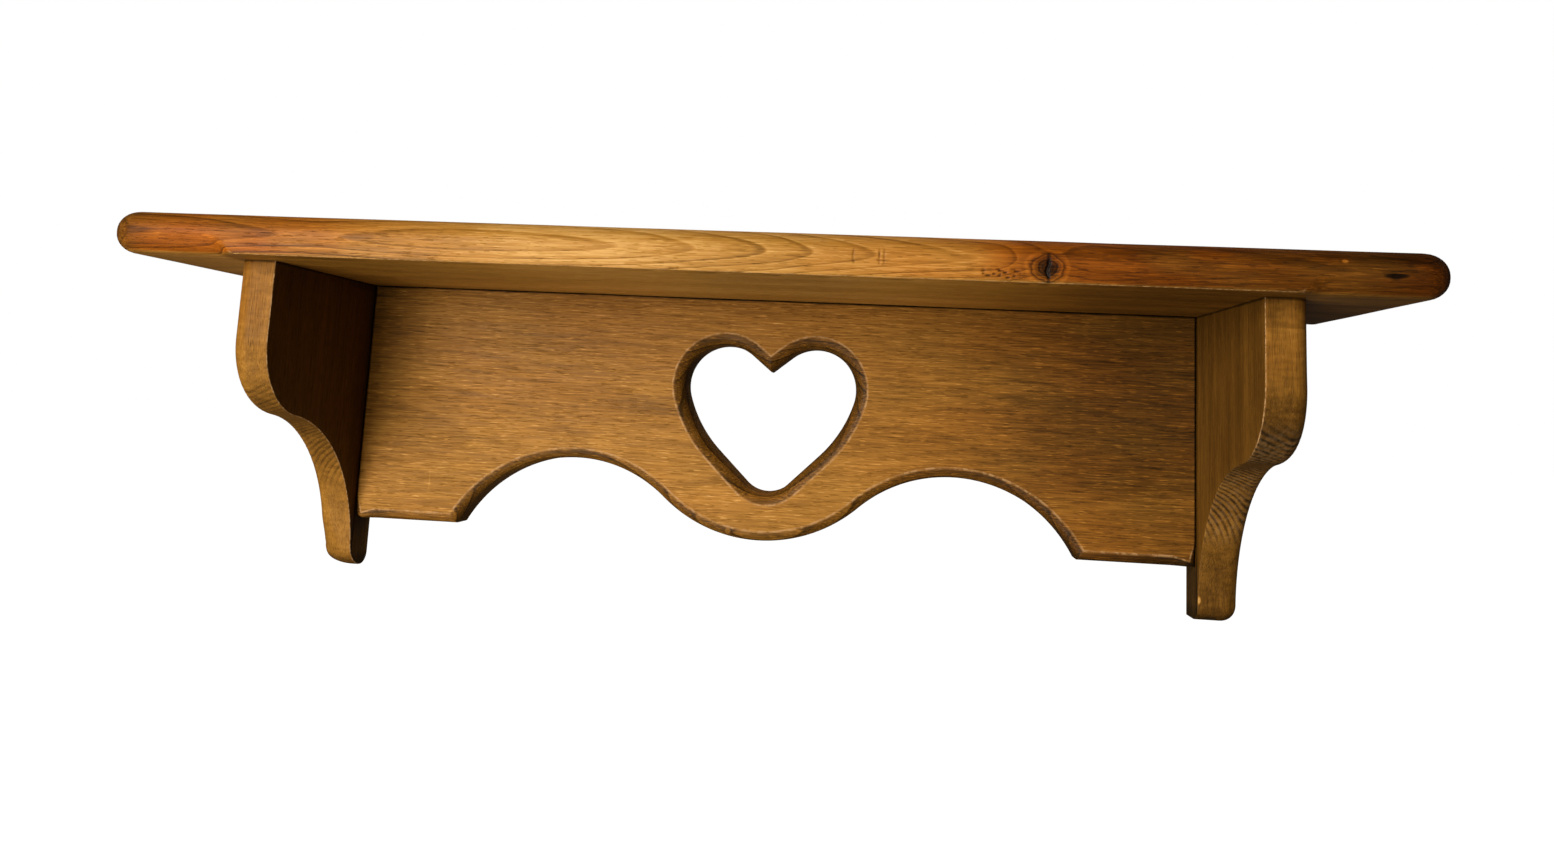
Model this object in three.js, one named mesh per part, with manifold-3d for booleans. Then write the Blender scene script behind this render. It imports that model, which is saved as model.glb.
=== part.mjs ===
// A country-style wall shelf in 19 mm pine: a top board, two S-curve side brackets and, between them,
// a back panel with a heart cut-out and a scalloped lower edge. It hangs on two keyhole plates.
//
// Millimetres. +X runs along the shelf to the viewer's right, +Y points into the wall, +Z is up.
// The origin lies on the wall plane, midway between the two wall screws that the shelf hangs on.

import * as THREE from 'three';
import { mergeVertices } from 'three/addons/utils/BufferGeometryUtils.js';
import Module from 'manifold-3d';

const wasm = await Module();
wasm.setup();

// ---------------------------------------------------------------- driving dimensions

const stock = 19;            // thickness of every board
const hookDrop = 20;         // the wall screws sit this far below the underside of the top board
const gap = 0.3;             // clearance between a fitting and the pocket cut for it

const board = {
  length: 586,
  depth: 140,
  cornerRadius: 13,          // front corners, seen from above
  roundover: 9,              // front edge and both ends
  crispHalf: 232,            // the lower front edge stays square out to here on each side
};

const bracket = {
  spacing: 440,              // clear distance between the two brackets
  depth: 120,
  height: 152,
  noseRadius: 36,            // convex half of the S-curve
  coveRadius: 79,            // concave half of the S-curve
  tailDepth: 20,             // front to back, at the foot of the S-curve
  roundover: 8.5,            // outer edge only
};
const toeRadius = { left: 14, right: 9 };   // front corner of each tail
const heelRadius = { left: 6, right: 1 };   // back corner of each tail

const panel = {
  height: 126,
  edgeRound: 4,              // front arris of the lower edge
};

const scallop = {
  centreX: -1.2,
  archRadius: 72.5,
  archSpacing: 199,          // between the centres of the two arches
  archDrop: 160.7,           // the arches' centres lie this far below the top board
};

const heart = {
  centreX: 1.3,
  lobeSpacing: 47.7,         // between the centres of the two lobes
  lobeDrop: 46.4,            // the lobes' centres lie this far below the top board
  lobeRadius: 21.6,
  cleftSlope: THREE.MathUtils.degToRad(39),
  sideRadius: 66,            // the gently bowed flank between a lobe and the tip
  sideStart: THREE.MathUtils.degToRad(17),   // below level, where the lobe hands over to the flank
  sideEnd: THREE.MathUtils.degToRad(45.7),
  tipRadius: 16,
  roundover: 6.5,
};

const dowel = {
  radius: 4,
  length: 29,
  chamfer: 1,
  play: 0.1,                 // clearance around it in its bore
  endPlay: 0.5,              // and at each end
  sides: 16,
  inFace: 10.5,              // how much of it stands in the side of the second board
  bracketY: { front: -88, back: -34 },
  panelDrop: { upper: 26, lower: 100 },      // below the top board
  topX: { left: -115, middle: 1, right: 115 },
};

const hanger = {
  spacing: 360,              // between the two plates
  width: 16,
  thickness: 2.4,
  top: 14,                   // upper end, above the wall screws
  bottom: -31,               // lower end
  slotRadius: 2.4,
  entryRadius: 4.8,
  entryZ: -12,
  screwZ: [8, -25],
  holeRadius: 2.1,
};

const screw = {
  headRadius: 3.7,
  headDepth: 2.1,
  headRim: 0.3,
  shankRadius: 1.75,
  length: 13,
  pointLength: 3,
  crossWidth: 1,
  crossDepth: 1.4,
  play: 0.15,                // clearance in its pilot hole
};

const pocket = { radius: 5.6, depth: 11, top: 7.1, bottom: -18 };   // room for the wall screw's head

// ---------------------------------------------------------------- derived levels

const underside = hookDrop;                       // lower face of the top board
const innerX = bracket.spacing / 2;               // inner face of a bracket
const bracketBottom = underside - bracket.height;
const panelBottom = underside - panel.height;
const past = 15;                                  // stock left on an edge before it is sawn square

// ---------------------------------------------------------------- materials

function timber(colour) {
  return new THREE.MeshStandardMaterial({ color: colour, roughness: 0.5, metalness: 0 });
}

function zincPlate() {
  return new THREE.MeshStandardMaterial({ color: 0xb4b6b8, roughness: 0.35, metalness: 0.9 });
}

const stainedPine = 0xa0652b;
const rawBeech = 0xcfa977;

// ---------------------------------------------------------------- solids: join and cut

function solidOf(geometry) {
  const bare = geometry.clone();
  bare.deleteAttribute('normal');
  bare.deleteAttribute('uv');
  const welded = mergeVertices(bare, 1e-4);
  return new wasm.Manifold(new wasm.Mesh({
    numProp: 3,
    vertProperties: new Float32Array(welded.attributes.position.array),
    triVerts: new Uint32Array(welded.index.array),
  }));
}

function geometryOf(solid) {
  const mesh = solid.getMesh();
  const geometry = new THREE.BufferGeometry();
  geometry.setAttribute('position', new THREE.BufferAttribute(new Float32Array(mesh.vertProperties), 3));
  geometry.setIndex(new THREE.BufferAttribute(new Uint32Array(mesh.triVerts), 1));
  geometry.computeVertexNormals();
  return geometry;
}

// A copy mirrored left to right, with its faces turned to point outwards again.
function mirrored(geometry) {
  const copy = geometry.clone().scale(-1, 1, 1);
  const index = copy.index.array;
  for (let i = 0; i < index.length; i += 3) [index[i], index[i + 1]] = [index[i + 1], index[i]];
  return copy;
}

// A box given by its lowest and highest corners.
function block(low, high) {
  const size = high.map((value, i) => value - low[i]);
  const geometry = new THREE.BoxGeometry(...size);
  geometry.translate(...high.map((value, i) => (value + low[i]) / 2));
  return solidOf(geometry);
}

// ---------------------------------------------------------------- outlines and extrusions

// Places an outline drawn in (Y, Z) with its thickness along +X.
const alongX = new THREE.Matrix4().makeBasis(
  new THREE.Vector3(0, 1, 0),
  new THREE.Vector3(0, 0, 1),
  new THREE.Vector3(1, 0, 0),
);

// Places an outline drawn in (X, Z) with its thickness towards the room, along -Y.
const towardsRoom = new THREE.Matrix4().makeRotationX(Math.PI / 2);

// A sawn board whose outline is rounded over on the face at the full thickness. It runs on behind the
// other face, where it is trimmed square.
function roundedBoard(outline, thickness, roundover, segments) {
  const geometry = new THREE.ExtrudeGeometry(outline, {
    depth: thickness - roundover + 1,
    bevelEnabled: true,
    bevelThickness: roundover,
    bevelSize: roundover,
    bevelOffset: -roundover,
    bevelSegments: segments,
    curveSegments: 10,
  });
  geometry.translate(0, 0, -1);
  return geometry;
}

// ---------------------------------------------------------------- top board

function boardSolid() {
  const half = board.length / 2;
  const r = board.cornerRadius;
  const outline = new THREE.Shape();
  outline.moveTo(-half, past);
  outline.lineTo(-half, -board.depth + r);
  outline.absarc(-half + r, -board.depth + r, r, Math.PI, 1.5 * Math.PI);
  outline.lineTo(half - r, -board.depth);
  outline.absarc(half - r, -board.depth + r, r, 1.5 * Math.PI, 2 * Math.PI);
  outline.lineTo(half, past);
  outline.closePath();

  const rounded = new THREE.ExtrudeGeometry(outline, {
    depth: stock - 2 * board.roundover,
    bevelEnabled: true,
    bevelThickness: board.roundover,
    bevelSize: board.roundover,
    bevelOffset: -board.roundover,
    bevelSegments: 6,
    curveSegments: 6,
  });
  rounded.translate(0, 0, underside + board.roundover);

  const squareEdge = block(
    [-board.crispHalf, -board.depth, underside],
    [board.crispHalf, -board.depth + 2 * board.roundover, underside + stock / 2],
  );
  const sawn = block([-half - 1, -board.depth - 1, underside - 1], [half + 1, 0, underside + stock + 1]);
  return solidOf(rounded).add(squareEdge).intersect(sawn);
}

// ---------------------------------------------------------------- brackets

// The bracket's side view in (Y, Z): straight front, convex nose, concave cove and rounded toe.
function bracketOutline(toe) {
  const nose = new THREE.Vector2(-bracket.depth + bracket.noseRadius, underside - bracket.noseRadius);
  const reach = bracket.noseRadius + bracket.coveRadius;
  const coveY = -bracket.tailDepth - bracket.coveRadius;
  const cove = new THREE.Vector2(coveY, nose.y - Math.sqrt(reach ** 2 - (nose.x - coveY) ** 2));
  const meeting = Math.atan2(nose.y - cove.y, nose.x - cove.x);

  const toeRise = bracketBottom + toe - cove.y;
  const toeRun = Math.sqrt((bracket.coveRadius + toe) ** 2 - toeRise ** 2);
  const toeAngle = Math.atan2(toeRise, toeRun);

  const outline = new THREE.Shape();
  outline.moveTo(-bracket.depth, underside + past);
  outline.lineTo(-bracket.depth, nose.y);
  outline.absarc(nose.x, nose.y, bracket.noseRadius, Math.PI, Math.PI + meeting);
  outline.absarc(cove.x, cove.y, bracket.coveRadius, meeting, toeAngle, true);
  outline.absarc(cove.x + toeRun, cove.y + toeRise, toe, Math.PI + toeAngle, 1.5 * Math.PI);
  outline.lineTo(past, bracketBottom);
  outline.lineTo(past, underside + past);
  outline.closePath();
  return outline;
}

// Rounds the tail's back corner: what lies outside a quarter circle is taken off.
function heelWaste(heel) {
  const corner = new THREE.Shape();
  corner.moveTo(1, bracketBottom - 1);
  corner.lineTo(1, bracketBottom + heel);
  corner.lineTo(0, bracketBottom + heel);
  corner.absarc(-heel, bracketBottom + heel, heel, 0, -0.5 * Math.PI, true);
  corner.lineTo(-heel, bracketBottom - 1);
  corner.closePath();
  const geometry = new THREE.ExtrudeGeometry(corner, {
    depth: stock + 2,
    bevelEnabled: false,
    curveSegments: 6,
  });
  geometry.translate(0, 0, -1);
  return solidOf(geometry.applyMatrix4(alongX));
}

// A bracket, drawn as the right-hand one, with its rounded outer face at +X.
function bracketSolid(toe, heel) {
  const raw = roundedBoard(bracketOutline(toe), stock, bracket.roundover, 5);
  const trim = block([0, -bracket.depth - 1, bracketBottom - 1], [stock + 1, 0, underside]);
  return solidOf(raw.applyMatrix4(alongX)).intersect(trim).subtract(heelWaste(heel));
}

function rightBracket() {
  return solidOf(geometryOf(bracketSolid(toeRadius.right, heelRadius.right)).translate(innerX, 0, 0));
}

function leftBracket() {
  return solidOf(mirrored(geometryOf(bracketSolid(toeRadius.left, heelRadius.left)).translate(innerX, 0, 0)));
}

// ---------------------------------------------------------------- back panel

// The panel's front view in (X, Z): a flat end, an arch, the middle lobe, an arch and a flat end.
function panelOutline() {
  const { centreX, archRadius, archSpacing } = scallop;
  const archZ = underside - scallop.archDrop;
  const halfSpacing = archSpacing / 2;
  const rise = panelBottom - archZ;
  const springing = Math.asin(rise / archRadius);
  // The lobe touches both arches and the panel's lower edge.
  const lobeRadius = (halfSpacing ** 2 + rise ** 2 - archRadius ** 2) / (2 * (archRadius - rise));
  const lobeZ = panelBottom + lobeRadius;
  const meeting = Math.atan2(lobeZ - archZ, halfSpacing);

  const outline = new THREE.Shape();
  outline.moveTo(-innerX - past, underside + past);
  outline.lineTo(-innerX - past, panelBottom);
  outline.absarc(centreX - halfSpacing, archZ, archRadius, Math.PI - springing, meeting, true);
  outline.absarc(centreX, lobeZ, lobeRadius, Math.PI + meeting, 2 * Math.PI - meeting);
  outline.absarc(centreX + halfSpacing, archZ, archRadius, Math.PI - meeting, springing, true);
  outline.lineTo(innerX + past, panelBottom);
  outline.lineTo(innerX + past, underside + past);
  outline.closePath();
  return outline;
}

// The heart in (X, Z), clockwise from its cleft: lobe, bowed flank, straight, tip, and back up.
function heartOutline() {
  const { centreX, lobeRadius, sideRadius, sideStart, sideEnd, cleftSlope, tipRadius } = heart;
  const lobeX = heart.lobeSpacing / 2;
  const lobeZ = underside - heart.lobeDrop;
  const lobeStart = Math.PI / 2 + cleftSlope;
  const cleftTouchX = lobeX + lobeRadius * Math.cos(lobeStart);
  const cleftTouchZ = lobeZ + lobeRadius * Math.sin(lobeStart);
  const cleftZ = cleftTouchZ - cleftTouchX * Math.tan(cleftSlope);
  const sideX = lobeX - (sideRadius - lobeRadius) * Math.cos(sideStart);
  const sideZ = lobeZ + (sideRadius - lobeRadius) * Math.sin(sideStart);
  const tipZ = sideZ + (tipRadius - sideRadius - sideX * Math.cos(sideEnd)) / Math.sin(sideEnd);

  const outline = new THREE.Path();
  outline.moveTo(centreX, cleftZ);
  outline.lineTo(centreX + cleftTouchX, cleftTouchZ);
  outline.absarc(centreX + lobeX, lobeZ, lobeRadius, lobeStart, -sideStart, true);
  outline.absarc(centreX + sideX, sideZ, sideRadius, -sideStart, -sideEnd, true);
  outline.absarc(centreX, tipZ, tipRadius, -sideEnd, sideEnd - Math.PI, true);
  outline.absarc(centreX - sideX, sideZ, sideRadius, Math.PI + sideEnd, Math.PI + sideStart, true);
  outline.absarc(centreX - lobeX, lobeZ, lobeRadius, Math.PI + sideStart, Math.PI - lobeStart, true);
  outline.closePath();
  return outline;
}

function panelSolid() {
  const scalloped = roundedBoard(panelOutline(), stock, panel.edgeRound, 4);

  const reachX = innerX + 2 * past;
  const sheet = new THREE.Shape();
  sheet.moveTo(-reachX, panelBottom - 2 * past);
  sheet.lineTo(reachX, panelBottom - 2 * past);
  sheet.lineTo(reachX, underside + 2 * past);
  sheet.lineTo(-reachX, underside + 2 * past);
  sheet.closePath();
  sheet.holes.push(heartOutline());
  const pierced = roundedBoard(sheet, stock, heart.roundover, 5);

  const trim = block([-innerX, -stock - 1, panelBottom - 1], [innerX, 0, underside]);
  return solidOf(scalloped.applyMatrix4(towardsRoom))
    .intersect(solidOf(pierced.applyMatrix4(towardsRoom)))
    .intersect(trim);
}

// ---------------------------------------------------------------- dowels

// A round bar along +Z with small chamfers, centred on the origin.
function dowelGeometry(radius, length, chamfer) {
  const profile = [
    new THREE.Vector2(0, -length / 2),
    new THREE.Vector2(radius - chamfer, -length / 2),
    new THREE.Vector2(radius, -length / 2 + chamfer),
    new THREE.Vector2(radius, length / 2 - chamfer),
    new THREE.Vector2(radius - chamfer, length / 2),
    new THREE.Vector2(0, length / 2),
  ];
  return new THREE.LatheGeometry(profile, dowel.sides).rotateX(Math.PI / 2);
}

// Where each dowel's middle lies and which way it runs. A dowel is 2/3 in the piece whose edge it
// enters and 1/3 in the piece whose face it enters.
function dowelPlaces() {
  const shift = dowel.length / 2 - dowel.inFace;
  const places = [];
  for (const [side, sign] of [['left', -1], ['right', 1]]) {
    for (const [place, y] of Object.entries(dowel.bracketY)) {
      const at = new THREE.Vector3(sign * (innerX + stock / 2), y, underside - shift);
      places.push({ name: `${side}_bracket_${place}_dowel`, at, axis: 'z' });
    }
    for (const [place, drop] of Object.entries(dowel.panelDrop)) {
      const at = new THREE.Vector3(sign * (innerX - shift), -stock / 2, underside - drop);
      places.push({ name: `${side}_panel_${place}_dowel`, at, axis: 'x' });
    }
  }
  for (const [place, x] of Object.entries(dowel.topX)) {
    const at = new THREE.Vector3(x, -stock / 2, underside - shift);
    places.push({ name: `top_${place}_dowel`, at, axis: 'z' });
  }
  return places;
}

function lieAlong(geometry, axis) {
  return axis === 'x' ? geometry.rotateY(Math.PI / 2) : geometry;
}

function dowelBore({ at, axis }) {
  const bored = dowel.length + 2 * dowel.endPlay;
  const geometry = dowelGeometry(dowel.radius + dowel.play, bored, dowel.chamfer / 2);
  return solidOf(lieAlong(geometry, axis).translate(at.x, at.y, at.z));
}

// ---------------------------------------------------------------- keyhole hangers

function stadium(shape, radius, top, bottom) {
  shape.absarc(0, top - radius, radius, 0, Math.PI);
  shape.absarc(0, bottom + radius, radius, Math.PI, 2 * Math.PI);
  shape.closePath();
  return shape;
}

// The keyhole: a round entry for the screw's head, and a slot up to where its shank rests.
function keyhole() {
  const { slotRadius, entryRadius, entryZ } = hanger;
  const mouth = Math.asin(slotRadius / entryRadius);
  const path = new THREE.Path();
  path.absarc(0, 0, slotRadius, 0, Math.PI);
  path.absarc(0, entryZ, entryRadius, Math.PI / 2 + mouth, Math.PI / 2 - mouth + 2 * Math.PI);
  path.closePath();
  return path;
}

function screwGeometry(play) {
  const profile = [
    new THREE.Vector2(0, -play),
    new THREE.Vector2(screw.headRadius + play, -play),
    new THREE.Vector2(screw.headRadius + play, screw.headRim),
    new THREE.Vector2(screw.shankRadius + play, screw.headDepth + play),
    new THREE.Vector2(screw.shankRadius + play, screw.length - screw.pointLength),
    new THREE.Vector2(0, screw.length + play),
  ];
  return new THREE.LatheGeometry(profile, 16);
}

// The hanger lies in the (X, Z) plane with its outer face on the wall plane and its body at Y < 0.
function hangerSolid() {
  const outline = stadium(new THREE.Shape(), hanger.width / 2, hanger.top, hanger.bottom);
  outline.holes.push(keyhole());
  const geometry = new THREE.ExtrudeGeometry(outline, {
    depth: hanger.thickness,
    bevelEnabled: false,
    curveSegments: 8,
  });
  let plate = solidOf(geometry.applyMatrix4(towardsRoom));
  for (const z of hanger.screwZ) plate = plate.subtract(screwHole(z));
  return plate;
}

// Countersunk hole: the screw's own envelope, opened out by a little play. The screw points into the wood.
function screwHole(z) {
  const sink = new THREE.LatheGeometry([
    new THREE.Vector2(0, -1),
    new THREE.Vector2(screw.headRadius + 0.25, -1),
    new THREE.Vector2(screw.headRadius + 0.25, 0.4),
    new THREE.Vector2(hanger.holeRadius, screw.headDepth + 0.2),
    new THREE.Vector2(hanger.holeRadius, hanger.thickness + 1),
    new THREE.Vector2(0, hanger.thickness + 1),
  ], 16);
  return solidOf(intoWood(sink, 0, z));
}

// Turns a lathed piece from +Y to -Y, so that it points away from the wall, and moves it to (x, z).
function intoWood(geometry, x, z) {
  return geometry.rotateX(Math.PI).translate(x, 0, z);
}

function screwSolid() {
  const blade = [screw.headRadius * 0.6, screw.crossWidth / 2];
  let body = solidOf(screwGeometry(0));
  for (const [x, z] of [blade, [...blade].reverse()]) {
    body = body.subtract(block([-x, -1, -z], [x, screw.crossDepth, z]));
  }
  return body;
}

// What is cut out of the panel behind one hanger: the plate's own recess, room for the wall screw's
// head, and the two pilot holes.
function hangerCut(x) {
  const recess = stadium(new THREE.Shape(), hanger.width / 2 + gap, hanger.top + gap, hanger.bottom - gap);
  const recessed = new THREE.ExtrudeGeometry(recess, {
    depth: hanger.thickness + gap + 1,
    bevelEnabled: false,
    curveSegments: 8,
  });
  const room = stadium(new THREE.Shape(), pocket.radius, pocket.top, pocket.bottom);
  const roomy = new THREE.ExtrudeGeometry(room, {
    depth: pocket.depth + 1,
    bevelEnabled: false,
    curveSegments: 6,
  });
  let cut = solidOf(recessed.applyMatrix4(towardsRoom).translate(x, 1, 0));
  cut = cut.add(solidOf(roomy.applyMatrix4(towardsRoom).translate(x, 1, 0)));
  for (const z of hanger.screwZ) cut = cut.add(solidOf(intoWood(screwGeometry(screw.play), x, z)));
  return cut;
}

// ---------------------------------------------------------------- assembly

const shelf = new THREE.Group();
shelf.name = 'wall_shelf';

function place(name, geometry, material) {
  const mesh = new THREE.Mesh(geometry, material);
  mesh.name = name;
  shelf.add(mesh);
  return mesh;
}

const hangerX = [-hanger.spacing / 2, hanger.spacing / 2];
const wood = {
  top_board: boardSolid(),
  left_bracket: leftBracket(),
  right_bracket: rightBracket(),
  back_panel: panelSolid(),
};

const dowels = dowelPlaces();
for (const spot of dowels) {
  const bore = dowelBore(spot);
  for (const name of Object.keys(wood)) wood[name] = wood[name].subtract(bore);
}
for (const x of hangerX) wood.back_panel = wood.back_panel.subtract(hangerCut(x));
for (const [name, solid] of Object.entries(wood)) place(name, geometryOf(solid), timber(stainedPine));

for (const { name, at, axis } of dowels) {
  const geometry = lieAlong(dowelGeometry(dowel.radius, dowel.length, dowel.chamfer), axis);
  place(name, geometry, timber(rawBeech)).position.copy(at);
}

for (const [side, x] of [['left', hangerX[0]], ['right', hangerX[1]]]) {
  place(`${side}_hanger_plate`, geometryOf(hangerSolid()), zincPlate()).position.set(x, 0, 0);
  for (const [level, z] of [['upper', hanger.screwZ[0]], ['lower', hanger.screwZ[1]]]) {
    const geometry = geometryOf(screwSolid()).rotateX(Math.PI);
    place(`${side}_hanger_${level}_screw`, geometry, zincPlate()).position.set(x, 0, z);
  }
}

export default shelf;
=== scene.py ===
"""Stained pine wall shelf: detailed boards, finishes, studio light and camera."""
import math

import bmesh
import bpy
import numpy as np
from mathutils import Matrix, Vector, noise
from mathutils.geometry import delaunay_2d_cdt


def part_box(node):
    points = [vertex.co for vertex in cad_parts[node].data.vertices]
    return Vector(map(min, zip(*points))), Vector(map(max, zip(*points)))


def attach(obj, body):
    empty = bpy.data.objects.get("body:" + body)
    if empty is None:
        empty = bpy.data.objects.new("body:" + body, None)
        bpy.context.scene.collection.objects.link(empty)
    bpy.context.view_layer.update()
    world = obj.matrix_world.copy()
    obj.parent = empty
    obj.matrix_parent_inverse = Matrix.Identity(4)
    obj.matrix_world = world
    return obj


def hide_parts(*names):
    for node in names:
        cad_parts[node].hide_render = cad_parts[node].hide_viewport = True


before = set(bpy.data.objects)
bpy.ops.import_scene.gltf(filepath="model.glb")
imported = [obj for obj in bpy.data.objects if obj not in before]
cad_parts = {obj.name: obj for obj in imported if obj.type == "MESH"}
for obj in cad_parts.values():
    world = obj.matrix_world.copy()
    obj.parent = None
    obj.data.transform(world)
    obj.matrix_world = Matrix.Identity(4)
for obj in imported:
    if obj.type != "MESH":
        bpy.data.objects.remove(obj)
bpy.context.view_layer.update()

MM = 0.001
TAU = math.tau
SMALL = 1e-7

# ---- sizes, in millimetres


def node_box(node):
    """Lowest and highest corner of a CAD node, in millimetres."""
    low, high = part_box(node)
    return low / MM, high / MM


BOARD_LOW, BOARD_HIGH = node_box("top_board")
PANEL_LOW, PANEL_HIGH = node_box("back_panel")
LEFT_LOW, LEFT_HIGH = node_box("left_bracket")
RIGHT_LOW = node_box("right_bracket")[0]

STOCK = BOARD_HIGH.z - BOARD_LOW.z        # thickness of every board
UNDERSIDE = BOARD_LOW.z
JOINT = 0.15                              # hairline left open at each joint

BOARD = {"corner": 13, "top_round": 9, "end_round": 9, "crisp": 0.5, "stop_left": -236, "stop_right": 236}
BRACKET = {"nose": 36, "cove": 79, "tail": 20, "crisp": 0.5}
# Foot: what the roundover gains at the foot, inward and across. Splay: how far the front leans out.
# Swell: what the lower part gains in thickness. Ridge: depth of the ridges in the end grain.
LEFT = {
    "side": -1, "toe": 14, "heel": 6.5, "roundover": 8.5, "foot": (4, 7.5),
    "splay": 1.0, "swell": 0, "ridge": 0.15,
}
RIGHT = {
    "side": 1, "toe": 9, "heel": 1, "roundover": 7, "foot": (0, 0),
    "splay": 2.3, "swell": 1.2, "ridge": 0.4,
}
BRACKET_PITH = (-40, 10)                  # across from the inner face, and from the wall
BRACKET_RING = 2.3                        # spacing of the brackets' growth rings
SCALLOP = {"centre": -1.2, "arch": 72.5, "spacing": 199, "drop": 160.7, "round": 5.2, "corner": 3.5}
HEART = {
    "centre": 1.3, "lobe_spacing": 47.7, "lobe_drop": 46.4, "lobe": 21.6, "cleft": math.radians(39),
    "side": 66, "side_start": math.radians(17), "side_end": math.radians(45.7), "tip": 16, "round": 6.5,
}
HANGER = {"spacing": 360, "radius": 8.3, "top": 14.3, "bottom": -31.3, "depth": 2.7}
POCKET = {"radius": 5.6, "top": 7.1, "bottom": -18, "depth": 11}
WAVE_LENGTH = 45                          # of the slight waves left in every hand-finished face

# ---- single marks, in millimetres

# On the board's front: places along the shelf, and heights above the board's underside.
KNOT_X, KNOT_Z = 128.8, 6.5
DENTS_X, DENTS_Z = (47.4, 58.6, 60.7), 9
TORN_X, TORN_Z = (100, 118), 3.4          # torn grain left of the knot
PITCH_X, PITCH_Z = 267.7, 8.1             # pitch pocket
CHIP_X, CHIP_Z = 248, 13.6
# Elsewhere: places along the shelf, out from the wall (y), and heights (z).
SPOT_X, SPOT_Y = 126, -137                # dark spot on the board's underside
SCRATCH_X, SCRATCH_Z = -180, UNDERSIDE - 104
LOBE_CHIP_X, LOBE_CHIP_Z = -17, UNDERSIDE - 121.5
BRACKET_CHIP_Z = -121.5                   # on the right bracket's inner arris

# ---- outlines


class Outline:
    """Points along the edge of a board, with the wood on the left of the direction of travel."""

    def __init__(self):
        self.points = []
        self.inward = []

    def _add(self, point, normal):
        if self.points:
            same_place = math.dist(self.points[-1], point) < SMALL
            same_way = math.dist(self.inward[-1], normal) < 1e-3
            if same_place and same_way:
                return
        self.points.append((float(point[0]), float(point[1])))
        self.inward.append((float(normal[0]), float(normal[1])))

    def line(self, start, end, step):
        run = math.dist(start, end)
        count = max(1, round(run / step))
        self.stops(start, end, [run * i / count for i in range(count + 1)])

    def stops(self, start, end, places):
        """A straight run with its points at the given distances from its start."""
        run = math.dist(start, end)
        along = ((end[0] - start[0]) / run, (end[1] - start[1]) / run)
        for t in places:
            self._add((start[0] + along[0] * t, start[1] + along[1] * t), (-along[1], along[0]))

    def arc(self, centre, radius, start, end, step):
        """Anticlockwise where end is larger, with the wood inside the circle; otherwise outside it."""
        count = max(2, round(abs(end - start) * radius / step))
        side = -1 if end > start else 1
        for i in range(count + 1):
            angle = start + (end - start) * i / count
            outward = (math.cos(angle), math.sin(angle))
            point = (centre[0] + radius * outward[0], centre[1] + radius * outward[1])
            self._add(point, (side * outward[0], side * outward[1]))

    def inset(self, depths, closed=False):
        """The points moved into the wood, each by its own depth, mitred at sharp corners."""
        moved = [
            (p[0] + n[0] * d, p[1] + n[1] * d)
            for p, n, d in zip(self.points, self.inward, depths)
        ]
        count = len(self.points)
        for k in range(count if closed else count - 1):
            after = (k + 1) % count
            if math.dist(self.points[k], self.points[after]) < 1e-5:
                self._mitre(moved, k, after, depths[k], closed)
        return moved

    def _mitre(self, moved, before, after, depth, closed):
        corner = self.points[before]
        bx = self.inward[before][0] + self.inward[after][0]
        by = self.inward[before][1] + self.inward[after][1]
        size = math.hypot(bx, by)
        bx, by = bx / size, by / size
        reach = depth / (bx * self.inward[before][0] + by * self.inward[before][1])
        tip = (corner[0] + bx * reach, corner[1] + by * reach)
        count = len(moved)
        for start, step, side in ((before, -1, -1), (after, 1, 1)):
            k = start
            for _ in range(count):
                x, y = moved[k][0] - corner[0], moved[k][1] - corner[1]
                if side * (x * by - y * bx) > 0 and k != start:
                    break
                moved[k] = tip
                k += step
                if closed:
                    k %= count
                elif not 0 <= k < count:
                    break


# ---- closed board meshes


def quarter(radius, steps):
    """(inset, rise) pairs of a quarter round, from the edge's side to its face."""
    pairs = []
    for i in range(steps + 1):
        angle = math.pi / 2 * i / steps
        pairs.append((radius * (1 - math.cos(angle)), radius * math.sin(angle)))
    return pairs


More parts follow.
